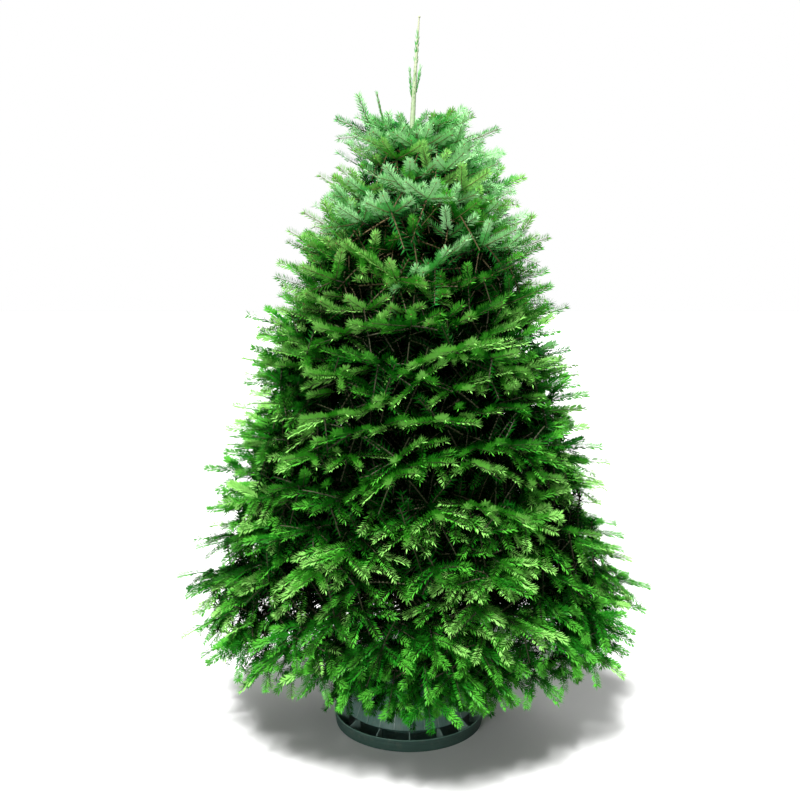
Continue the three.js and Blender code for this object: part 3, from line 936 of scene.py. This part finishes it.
def makeWood(bark, pale):
    joint = leader["foot"]
    cut = float(trunkRows[0, 0])
    top = float(trunkRows[-1, 0]) - timber["tipInset"]
    rings = timber["trunkRings"]
    rows = [cut + (joint - cut) * i / rings for i in range(rings + 1)]
    trunk = tubes("trunk_bark", [[(trunkCentre(z), trunkRadius(z) * timber["trunkShare"]) for z in rows]],
                  timber["trunkSides"], barkRelief)
    boughs = tubes("bough_bark", [limb["path"] for limb in limbs], timber["boughSides"], barkRelief)
    low = joint - timber["overlap"]
    rings = timber["stemRings"]
    rows = [low + (top - low) * i / rings for i in range(rings + 1)]
    stem = tubes("leader_stem", [[(trunkCentre(z), trunkRadius(z) * timber["stemShare"]) for z in rows]],
                 timber["stemSides"],
                 lambda p, r: timber["stemRelief"] * noise.noise(p * timber["stemGrain"]))
    for piece, finish in ((trunk, bark), (boughs, bark), (stem, pale)):
        paint(piece, finish)
    print(f"wood: {len(trunk.data.polygons)} trunk, {len(boughs.data.polygons)} bough faces")
    return trunk, boughs, stem


budShape = {"radius": 0.0021, "length": 0.0051, "rings": [(0.35, 1.0), (0.75, 0.8)]}


# Small scaly buds at the tips of the upper shoots, in one piece.
def makeBuds(brown):
    chosen = [s for s in shoots if s["age"] == 1 and s["kind"] == "brush"]
    vertices, faces = [], []
    for along, wide in budShape["rings"]:
        radius = wide * budShape["radius"]
        vertices += [(math.cos(a) * radius, along * budShape["length"], math.sin(a) * radius)
                     for a in (k * math.pi / 2.5 for k in range(5))]
    vertices += [(0, 0, 0), (0, budShape["length"], 0)]
    for k in range(5):
        n = (k + 1) % 5
        faces += [(10, n, k), (k, n, 5 + n, 5 + k), (5 + k, 5 + n, 11)]
    bud = meshObject("budShape", vertices, faces)
    piece = shootChains("buds", chosen)
    settle(piece, budTree(), {"Bud": bud, "Brown": brown})
    bpy.data.objects.remove(bud)
    print(f"buds: {len(chosen)}, {len(piece.data.polygons)} faces")
    return piece


def budTree():
    tree, given, result = newGeometryTree("budsOnTips", [
        ("Bud", "NodeSocketObject"), ("Brown", "NodeSocketMaterial")])
    curves = place(tree, "GeometryNodeMeshToCurve", {"Mesh": given.outputs["Geometry"]})
    shape = place(tree, "GeometryNodeObjectInfo", {"Object": given.outputs["Bud"]})
    ends = place(tree, "GeometryNodeCurveEndpointSelection", {0: 0, 1: 1})
    made = place(tree, "GeometryNodeInstanceOnPoints", {
        "Points": curves.outputs[0], "Selection": ends.outputs[0], "Instance": shape.outputs["Geometry"],
        "Rotation": alongShoot(tree)})
    real = place(tree, "GeometryNodeRealizeInstances", {0: made.outputs[0]})
    done = place(tree, "GeometryNodeSetMaterial", {
        "Geometry": real.outputs[0], "Material": given.outputs["Brown"]})
    tree.links.new(done.outputs[0], result.inputs[0])
    return tree


# The cluster of buds that ends the leader.
def makeLeaderBud(tan):
    top = trunkCentre(float(trunkRows[-1, 0]))
    paths = []
    for k in range(5):
        angle = k * math.pi / 2
        out = Vector((math.cos(angle), math.sin(angle), 0)) * (0 if k == 4 else leader["endRadius"] * 0.8)
        length = leader["endLength"] * (1.0 if k == 4 else 0.75)
        base = top + out - upward * leader["endLength"]
        paths.append([(base + (upward + out * 20) * length * t, leader["endRadius"] * w)
                      for t, w in ((0, 0.5), (0.25, 0.85), (0.5, 0.9), (0.75, 0.65), (0.95, 0.2))])
    piece = tubes("leader_bud", paths, 8, lambda p, r: 0.0)
    paint(piece, tan)
    return piece


# Cuts each corner of an outline in (radius, height) with a short curve.
def rounded(outline, amount):
    made = [outline[0]]
    for before, here, after in zip(outline, outline[1:], outline[2:]):
        a, b, c = (Vector(p) for p in (before, here, after))
        cut = min(amount, (a - b).length * 0.45, (c - b).length * 0.45)
        start = b + (a - b).normalized() * cut
        end = b + (c - b).normalized() * cut
        for t in (0, 0.25, 0.5, 0.75, 1):
            made.append(tuple(start * (1 - t) ** 2 + b * (2 * t * (1 - t)) + end * t * t))
    return made + [outline[-1]]


# Turns an outline that starts and ends on the axis into a closed solid, round Z or along X.
def lathe(name, outline, steps, axis="Z"):
    vertices, faces = [], []
    for radius, height in outline[1:-1]:
        for k in range(steps):
            angle = 2 * math.pi * k / steps
            across = (radius * math.cos(angle), radius * math.sin(angle))
            vertices.append((*across, height) if axis == "Z" else (height, *across))
    rows = len(outline) - 2
    for row in range(rows - 1):
        for k in range(steps):
            n = (k + 1) % steps
            faces.append((row * steps + k, row * steps + n, (row + 1) * steps + n, (row + 1) * steps + k))
    for (_, height), row, flip in ((outline[0], 0, True), (outline[-1], rows - 1, False)):
        centre = len(vertices)
        vertices.append((0, 0, height) if axis == "Z" else (height, 0, 0))
        for k in range(steps):
            ring = (row * steps + k, row * steps + (k + 1) % steps)
            faces.append((centre, *(reversed(ring) if flip else ring)))
    made = meshObject(name, vertices, faces)
    finishEdges(made)
    return made


def finishEdges(piece, degrees=40):
    piece.data.shade_smooth()
    piece.data.set_sharp_from_angle(angle=math.radians(degrees))


# A thin upright plate: an outline in (radius, height), with a width across.
def plate(name, outline, width):
    count = len(outline)
    vertices = [(r, side * width / 2, z) for side in (-1, 1) for r, z in outline]
    faces = [tuple(reversed(range(count))), tuple(range(count, 2 * count))]
    faces += [(k, (k + 1) % count, count + (k + 1) % count, count + k) for k in range(count)]
    return meshObject(name, vertices, faces)


# Copies a shape round the Z axis and joins the copies to the piece.
def roundTree():
    tree, given, result = newGeometryTree("copiesRoundAxis", [
        ("Shape", "NodeSocketObject"), ("Count", "NodeSocketInt"), ("First Angle", "NodeSocketFloat")])
    spots = place(tree, "GeometryNodeMeshLine", {"Count": given.outputs["Count"], "Offset": (0, 0, 0)})
    turn = maths(tree, math.tau, given.outputs["Count"], "DIVIDE")
    index = place(tree, "GeometryNodeInputIndex").outputs[0]
    each = place(tree, "ShaderNodeMath", {0: index, 1: turn, 2: given.outputs["First Angle"]},
                 operation="MULTIPLY_ADD")
    angle = place(tree, "ShaderNodeCombineXYZ", {"Z": each.outputs[0]})
    shape = place(tree, "GeometryNodeObjectInfo", {"Object": given.outputs["Shape"]})
    copies = place(tree, "GeometryNodeInstanceOnPoints", {
        "Points": spots.outputs[0], "Instance": shape.outputs["Geometry"],
        "Rotation": place(tree, "FunctionNodeEulerToRotation", {0: angle.outputs[0]}).outputs[0]})
    real = place(tree, "GeometryNodeRealizeInstances", {0: copies.outputs[0]})
    tree.links.new(joined(tree, given.outputs["Geometry"], real.outputs[0]), result.inputs[0])
    return tree


# Copies each shape round the axis in turn: a list of (shape, count, first angle in degrees).
def joinAround(piece, shapes):
    tree = roundTree()
    for shape, count, first in shapes:
        settle(piece, tree, {"Shape": shape, "Count": count, "First Angle": math.radians(first)})
        bpy.data.objects.remove(shape)


def makeTray(plastic, pale):
    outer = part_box("stand_tray")[1].x
    foot = outer - stand["lean"]
    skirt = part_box("stand_body")[1].x
    rim = stand["rimHeight"]
    wall = stand["wall"]
    floor = stand["floor"]
    outline = rounded([
        (0, stand["hollow"]), (foot - 0.012, stand["hollow"]), (foot - 0.011, 0), (foot, 0),
        (outer, rim - 0.003), (outer, rim),
        (outer - wall, rim), (foot - wall, floor), (0, floor)], stand["rounding"])
    piece = lathe("stand_tray_moulding", outline, stand["steps"])
    edge = stand["skirtHeight"]
    fin = plate("fin", [
        (skirt - 0.012, floor - 0.0005), (foot - wall + 0.001, floor - 0.0005),
        (outer - wall + 0.001, rim - 0.002), (skirt + 0.0012, edge - 0.002),
        (skirt - 0.0015, edge - 0.0034), (skirt - 0.012, edge - 0.006)], stand["finWidth"])
    angle, radius = stand["bossAt"]
    wide, high = stand["bossRadius"], floor + stand["bossHeight"]
    boss = lathe("boss", rounded([
        (0, floor - 0.001), (wide, floor - 0.001), (wide, high), (wide * 0.6, high),
        (wide * 0.55, floor + 0.001), (0, floor + 0.001)], stand["fineRounding"]), stand["bossSteps"])
    boss.data.transform(Matrix.Translation((radius, 0, 0)))
    # the fins and boss take the paler plastic: painted highlight on their thin edges
    for shape, finish in ((piece, plastic), (fin, pale), (boss, pale)):
        paint(shape, finish)
    joinAround(piece, [(fin, stand["ribs"], -90), (boss, 1, angle)])
    print(f"tray: {len(piece.data.polygons)} faces")
    return piece


def makeStandBody(plastic, pale):
    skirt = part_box("stand_body")[1].x
    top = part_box("stand_body")[1].z
    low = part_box("stand_body")[0].z
    skin = stand["skin"]
    cone, coneZ, skirtZ = stand["coneRadius"], stand["coneHeight"], stand["skirtHeight"]
    outline = rounded([
        (0, low), (stand["cupFoot"] + skin, low), (stand["cupRadius"] + skin, coneZ - skin),
        (cone - skin, coneZ - skin), (skirt - skin, skirtZ), (skirt, skirtZ), (cone, coneZ),
        (cone + stand["lip"], coneZ), (cone + stand["lip"], top), (stand["cupRadius"], top),
        (stand["cupFoot"], stand["cupFloor"]), (0, stand["cupFloor"])], stand["rounding"])
    piece = lathe("stand_body_moulding", outline, stand["steps"])

    def onCone(z):
        return skirt + (cone - skirt) * (z - skirtZ) / (coneZ - skirtZ)

    shapes = []
    paint(piece, plastic)
    # short marks above the fins, and longer ridges half way between them, in the paler plastic of the painted
    # highlight
    for first, low, high, proud in ((-90, 0.056, 0.100, stand["markProud"]),
                                    (-90 + 180 / stand["ribs"], 0.056, 0.150, stand["ridgeProud"])):
        ridge = plate("ridge", [(onCone(low) - 0.001, low), (onCone(low) + proud, low + 0.002),
                                (onCone(high) + proud, high - 0.003), (onCone(high) - 0.001, high)],
                      stand["ridgeWidth"])
        paint(ridge, pale)
        shapes.append((ridge, stand["ribs"], first))
    near, far = stand["collarFrom"], stand["collarTo"]
    wide, bore = stand["collarRadius"], stand["screwRadius"] + 0.001
    collar = lathe("collar", rounded([
        (0, near), (wide, near), (wide, far), (bore, far), (bore, far - 0.003), (0, far - 0.003)],
        stand["fineRounding"]), stand["collarSteps"], "X")
    collar.data.transform(Matrix.Translation((0, 0, stand["screwHeight"])))
    paint(collar, plastic)
    joinAround(piece, [*shapes, (collar, stand["screws"], stand["screwTurn"])])
    print(f"stand body: {len(piece.data.polygons)} faces")
    return piece


# A winding thread round X, from one distance to the other.
def threadTree():
    tree, given, result = newGeometryTree("screwThread", [
        ("Turns", "NodeSocketFloat"), ("Radius", "NodeSocketFloat"), ("Length", "NodeSocketFloat"),
        ("Start", "NodeSocketVector")])
    wind = place(tree, "GeometryNodeCurveSpiral", {
        "Resolution": 20, "Rotations": given.outputs["Turns"], "Start Radius": given.outputs["Radius"],
        "End Radius": given.outputs["Radius"], "Height": given.outputs["Length"]})
    ridge = place(tree, "GeometryNodeCurvePrimitiveCircle", {
        "Resolution": 3, "Radius": stand["threadRadius"]})
    made = place(tree, "GeometryNodeCurveToMesh", {
        "Curve": wind.outputs[0], "Profile Curve": ridge.outputs[0], "Fill Caps": True})
    laid = place(tree, "GeometryNodeTransform", {
        "Geometry": made.outputs[0], "Translation": given.outputs["Start"], "Rotation": (0, math.pi / 2, 0)})
    tree.links.new(joined(tree, given.outputs["Geometry"], laid.outputs[0]), result.inputs[0])
    return tree


def makeScrews(zinc):
    high = stand["screwHeight"]
    face = trunkRadius(high) - 0.003
    end = stand["screwEnd"]
    core = stand["screwRadius"] - stand["threadDepth"]
    pad = stand["padRadius"]
    neck = face + stand["padLength"]
    shape = lathe("screwShape", rounded([
        (0, face), (pad, face), (pad, neck), (core * 1.5, neck + 0.003), (core, neck + 0.004),
        (core, end - 0.001), (core - 0.001, end), (0, end)], 0.0006), stand["screwSteps"], "X")
    shape.data.transform(Matrix.Translation((0, 0, high)))
    plain = stand["plainLength"]
    length = end - plain - face - plain
    settle(shape, threadTree(), {
        "Turns": length / stand["threadPitch"], "Radius": core, "Length": length,
        "Start": (face + plain, 0, high)})
    half = stand["barLength"] / 2
    thin = stand["screwRadius"] * 0.85
    bar = lathe("bar", rounded([(0, -half), (thin, -half), (thin, half), (0, half)], stand["fineRounding"]),
                stand["barSteps"])
    bar.data.transform(Matrix.Translation((end - stand["screwRadius"], 0, high))
                       @ Matrix.Rotation(math.pi / 2, 4, "X"))
    piece = meshObject("stand_screws", [], [])
    joinAround(piece, [(made, stand["screws"], stand["screwTurn"]) for made in (shape, bar)])
    paint(piece, zinc)
    print(f"screws: {len(piece.data.polygons)} faces")
    return piece


# A shader node group: inputs and outputs by name, and build(tree, given, result) to wire it.
def shaderGroup(name, inputs, outputs, build):
    tree = bpy.data.node_groups.new(name, "ShaderNodeTree")
    for label, (kind, value) in inputs.items():
        tree.interface.new_socket(label, in_out="INPUT", socket_type=kind).default_value = value
    for label, kind in outputs.items():
        tree.interface.new_socket(label, in_out="OUTPUT", socket_type=kind)
    build(tree, tree.nodes.new("NodeGroupInput").outputs, tree.nodes.new("NodeGroupOutput").inputs)
    return tree


def noiseAt(tree, where, scale, detail=3.0, roughness=0.55):
    return place(tree, "ShaderNodeTexNoise", {
        "Vector": where, "Scale": scale, "Detail": detail, "Roughness": roughness}).outputs["Fac"]


def ranged(tree, value, low, high, toLow=0.0, toHigh=1.0):
    return place(tree, "ShaderNodeMapRange", {
        "Value": value, "From Min": low, "From Max": high, "To Min": toLow, "To Max": toHigh}).outputs[0]


def stretched(tree, where, scale):
    return place(tree, "ShaderNodeVectorMath", {0: where, 1: scale}, operation="MULTIPLY").outputs[0]


# Long cracks, plates and grey bloom on bark.
def buildBark(tree, given, result):
    plates = noiseAt(tree, stretched(tree, given["Place"], (60, 60, 22)), 1.0, 5.0, 0.6)
    grain = noiseAt(tree, stretched(tree, given["Place"], (420, 420, 130)), 1.0, 3.0)
    bloom = noiseAt(tree, given["Place"], 17.0, 4.0)
    base = mixed(tree, ranged(tree, plates, 0.36, 0.62), given["Dark"], given["Light"])
    grey = mixed(tree, maths(tree, ranged(tree, bloom, 0.48, 0.70), 0.55), base, given["Bloom"])
    done = mixed(tree, ranged(tree, grain, 0.30, 0.70, 0.45, 0.0), grey, given["Dark"])
    tree.links.new(done, result["Colour"])
    tree.links.new(ranged(tree, plates, 0.3, 0.7, 0.95, 0.72), result["Roughness"])
    height = maths(tree, plates, maths(tree, grain, 0.35), "ADD")
    bump = place(tree, "ShaderNodeBump", {"Strength": 0.6, "Distance": 0.0012, "Height": height})
    tree.links.new(bump.outputs[0], result["Normal"])


# Moulded plastic: flow streaks, fine scuffs, a painted highlight along the top edge and a little dust.
def buildPlastic(tree, given, result):
    parts = place(tree, "ShaderNodeSeparateXYZ", {0: given["Place"]})
    streaks = noiseAt(tree, stretched(tree, given["Place"], given["Streak Direction"]), 1.0, 4.0, 0.6)
    broad = noiseAt(tree, given["Place"], 9.0, 3.0)
    scuffs = noiseAt(tree, stretched(tree, given["Place"], (70, 70, 900)), 1.0, 2.0)
    base = mixed(tree, maths(tree, ranged(tree, streaks, 0.32, 0.68), 0.7), given["Dark"], given["Light"])
    base = mixed(tree, ranged(tree, broad, 0.40, 0.70, 0.0, 0.35), base, given["Dark"])
    # a paler colour at the top edge: painted highlight where the rim and lip catch the light
    edge = ranged(tree, parts.outputs[2], given["Edge From"], given["Edge To"])
    base = mixed(tree, maths(tree, edge, 0.8), base, given["Edge"])
    dust = maths(tree, ranged(tree, noiseAt(tree, given["Place"], 55.0, 5.0, 0.7), 0.52, 0.75), given["Dust"])
    tree.links.new(mixed(tree, dust, base, (0.33, 0.31, 0.25, 1)), result["Colour"])
    rough = maths(tree, ranged(tree, scuffs, 0.35, 0.65, 0.34, 0.50), maths(tree, dust, 0.35), "ADD")
    tree.links.new(rough, result["Roughness"])
    bump = place(tree, "ShaderNodeBump", {"Strength": 0.25, "Distance": 0.0004, "Height": scuffs})
    tree.links.new(bump.outputs[0], result["Normal"])


# Young wood that passes from one colour to another with height, with fine scars.
def buildYoungWood(tree, given, result):
    parts = place(tree, "ShaderNodeSeparateXYZ", {0: given["Place"]})
    share = ranged(tree, parts.outputs[2], given["From Height"], given["To Height"])
    base = mixed(tree, share, given["Low"], given["High"])
    marks = noiseAt(tree, stretched(tree, given["Place"], (500, 500, 160)), 1.0, 3.0)
    scars = ranged(tree, marks, 0.42, 0.66, 0.0, given["Marks"])
    tree.links.new(mixed(tree, scars, base, given["Mark Colour"]), result["Colour"])
    tree.links.new(ranged(tree, marks, 0.3, 0.7, 0.78, 0.55), result["Roughness"])
    bump = place(tree, "ShaderNodeBump", {"Strength": 0.4, "Distance": 0.0005, "Height": marks})
    tree.links.new(bump.outputs[0], result["Normal"])


# Bright zinc with dull patches and a few brown spots.
def buildZinc(tree, given, result):
    patches = noiseAt(tree, given["Place"], 160.0, 4.0)
    spots = ranged(tree, noiseAt(tree, given["Place"], 420.0, 2.0), 0.66, 0.74)
    base = mixed(tree, ranged(tree, patches, 0.35, 0.65), given["Dark"], given["Light"])
    tree.links.new(mixed(tree, maths(tree, spots, 0.6), base, (0.16, 0.08, 0.04, 1)), result["Colour"])
    tree.links.new(ranged(tree, patches, 0.35, 0.65, 0.45, 0.26), result["Roughness"])
    bump = place(tree, "ShaderNodeBump", {"Strength": 0.2, "Distance": 0.0003, "Height": patches})
    tree.links.new(bump.outputs[0], result["Normal"])


colour = "NodeSocketColor"
number = "NodeSocketFloat"
vector = "NodeSocketVector"
finishOutputs = {"Colour": colour, "Roughness": number, "Normal": vector}
finishes = {
    "bark": shaderGroup("barkFinish", {
        "Place": (vector, (0, 0, 0)), "Dark": (colour, (0.030, 0.022, 0.014, 1)),
        "Light": (colour, (0.130, 0.100, 0.070, 1)), "Bloom": (colour, (0.200, 0.205, 0.170, 1))},
        finishOutputs, buildBark),
    "plastic": shaderGroup("mouldedPlastic", {
        "Place": (vector, (0, 0, 0)), "Dark": (colour, (0.02, 0.05, 0.04, 1)),
        "Light": (colour, (0.05, 0.1, 0.08, 1)),
        "Edge": (colour, (0.1, 0.2, 0.16, 1)), "Edge From": (number, 1.0), "Edge To": (number, 2.0),
        "Streak Direction": (vector, (20, 20, 600)), "Dust": (number, 0.3)}, finishOutputs, buildPlastic),
    "young": shaderGroup("youngWood", {
        "Place": (vector, (0, 0, 0)), "Low": (colour, (0.05, 0.05, 0.02, 1)),
        "High": (colour, (0.2, 0.13, 0.05, 1)),
        "Mark Colour": (colour, (0.03, 0.02, 0.01, 1)), "Marks": (number, 0.5),
        "From Height": (number, 1.0), "To Height": (number, 1.5)}, finishOutputs, buildYoungWood),
    "zinc": shaderGroup("zincFinish", {
        "Place": (vector, (0, 0, 0)), "Dark": (colour, (0.36, 0.36, 0.34, 1)),
        "Light": (colour, (0.66, 0.67, 0.66, 1))}, finishOutputs, buildZinc),
}


# A Principled material whose colour, roughness and normal come from one of the finishes.
def finishMaterial(name, finish, values, **shaderValues):
    made = bpy.data.materials.new(name)
    made.use_nodes = True
    tree = made.node_tree
    shader = tree.nodes["Principled BSDF"]
    group = place(tree, "ShaderNodeGroup", node_tree=finishes[finish])
    where = place(tree, "ShaderNodeTexCoord").outputs["Object"]
    tree.links.new(where, group.inputs["Place"])
    for label, value in values.items():
        group.inputs[label].default_value = value
    for label, socket in (("Colour", "Base Color"), ("Roughness", "Roughness"), ("Normal", "Normal")):
        tree.links.new(group.outputs[label], shader.inputs[socket])
    for label, value in shaderValues.items():
        shader.inputs[label.replace("_", " ")].default_value = value
    return made


setStudio()
growCrown()
growLeader()
needlePieces = makeNeedles()
barkMaterial = finishMaterial("trunkBark", "bark", {})
# twig wood passes from a near-black olive low down to tan above: the tan is young wood's own colour, the
# near-black partly older bark and partly painted shade on twigs seen in the crown's gaps
twigMaterial = finishMaterial("twigBark", "young", {
    "Low": (0.040, 0.042, 0.014, 1), "High": (0.190, 0.125, 0.045, 1),
    "From Height": 1.25, "To Height": 1.60})
leaderMaterial = finishMaterial("leaderBark", "young", {
    "Low": (0.50, 0.60, 0.38, 1), "High": (0.66, 0.68, 0.46, 1), "From Height": 1.86, "To Height": 2.08,
    "Mark Colour": (0.14, 0.24, 0.08, 1), "Marks": 0.45})
budMaterial = finishMaterial("budScales", "young", {
    "Low": (0.20, 0.10, 0.035, 1), "High": (0.34, 0.20, 0.08, 1), "From Height": 1.2, "To Height": 2.1})
trayPlastic = finishMaterial("trayPlastic", "plastic", {
    "Dark": (0.038, 0.084, 0.068, 1), "Light": (0.100, 0.190, 0.158, 1), "Edge": (0.20, 0.40, 0.31, 1),
    "Edge From": 0.0360, "Edge To": 0.0388, "Streak Direction": (9, 9, 700), "Dust": 0.25})
bodyPlastic = finishMaterial("bodyPlastic", "plastic", {
    "Dark": (0.070, 0.165, 0.135, 1), "Light": (0.125, 0.265, 0.220, 1), "Edge": (0.20, 0.38, 0.31, 1),
    "Edge From": 0.1925, "Edge To": 0.1955, "Streak Direction": (130, 130, 25), "Dust": 0.30})
# a paler copy of the moulding's plastic for the fins, ridges, marks and boss: painted highlight along their
# thin edges
ridgeHighlightPlastic = finishMaterial("ridgeHighlightPlastic", "plastic", {
    "Dark": (0.180, 0.300, 0.255, 1), "Light": (0.300, 0.430, 0.380, 1), "Edge": (0.300, 0.430, 0.380, 1),
    "Streak Direction": (130, 130, 25), "Dust": 0.20})
zincMaterial = finishMaterial("zincPlating", "zinc", {}, Metallic=0.9)
twigs = makeTwigs(twigMaterial)
buds = makeBuds(budMaterial)
leaderBud = makeLeaderBud(leaderMaterial)
trunk, boughs, leaderStem = makeWood(barkMaterial, leaderMaterial)
tray = makeTray(trayPlastic, ridgeHighlightPlastic)
standBody = makeStandBody(bodyPlastic, ridgeHighlightPlastic)
screws = makeScrews(zincMaterial)

for part, piece in needlePieces.items():
    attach(piece, "root")
    if part == "leader":
        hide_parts(*leader["twigs"])
        continue
    whorl, half = part.rsplit("_", 1)
    masses = []
    for name in frame["nodes"]:
        if name.startswith(f"{whorl}_foliage_"):
            low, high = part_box(name)
            if ((low + high).y / 2 < -0.001) == (half == "front"):
                masses.append(name)
    if masses:
        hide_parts(*masses)
for piece, slot, nodes in (
    (trunk, "bark", ["trunk"]), (leaderStem, "bark", ["trunk"]), (leaderBud, "bark", []),
    (boughs, "bark", [n for n in frame["nodes"] if "_bough_" in n]),
    *((piece, "bark", []) for piece in twigs), (buds, "bark", []),
    (tray, "stand_tray", ["stand_tray"]), (standBody, "stand_body", ["stand_body"]),
    (screws, "screw", [f"stand_screw_{i + 1}" for i in range(stand["screws"])]),
):
    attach(piece, "root")
    if nodes:
        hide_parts(*nodes)
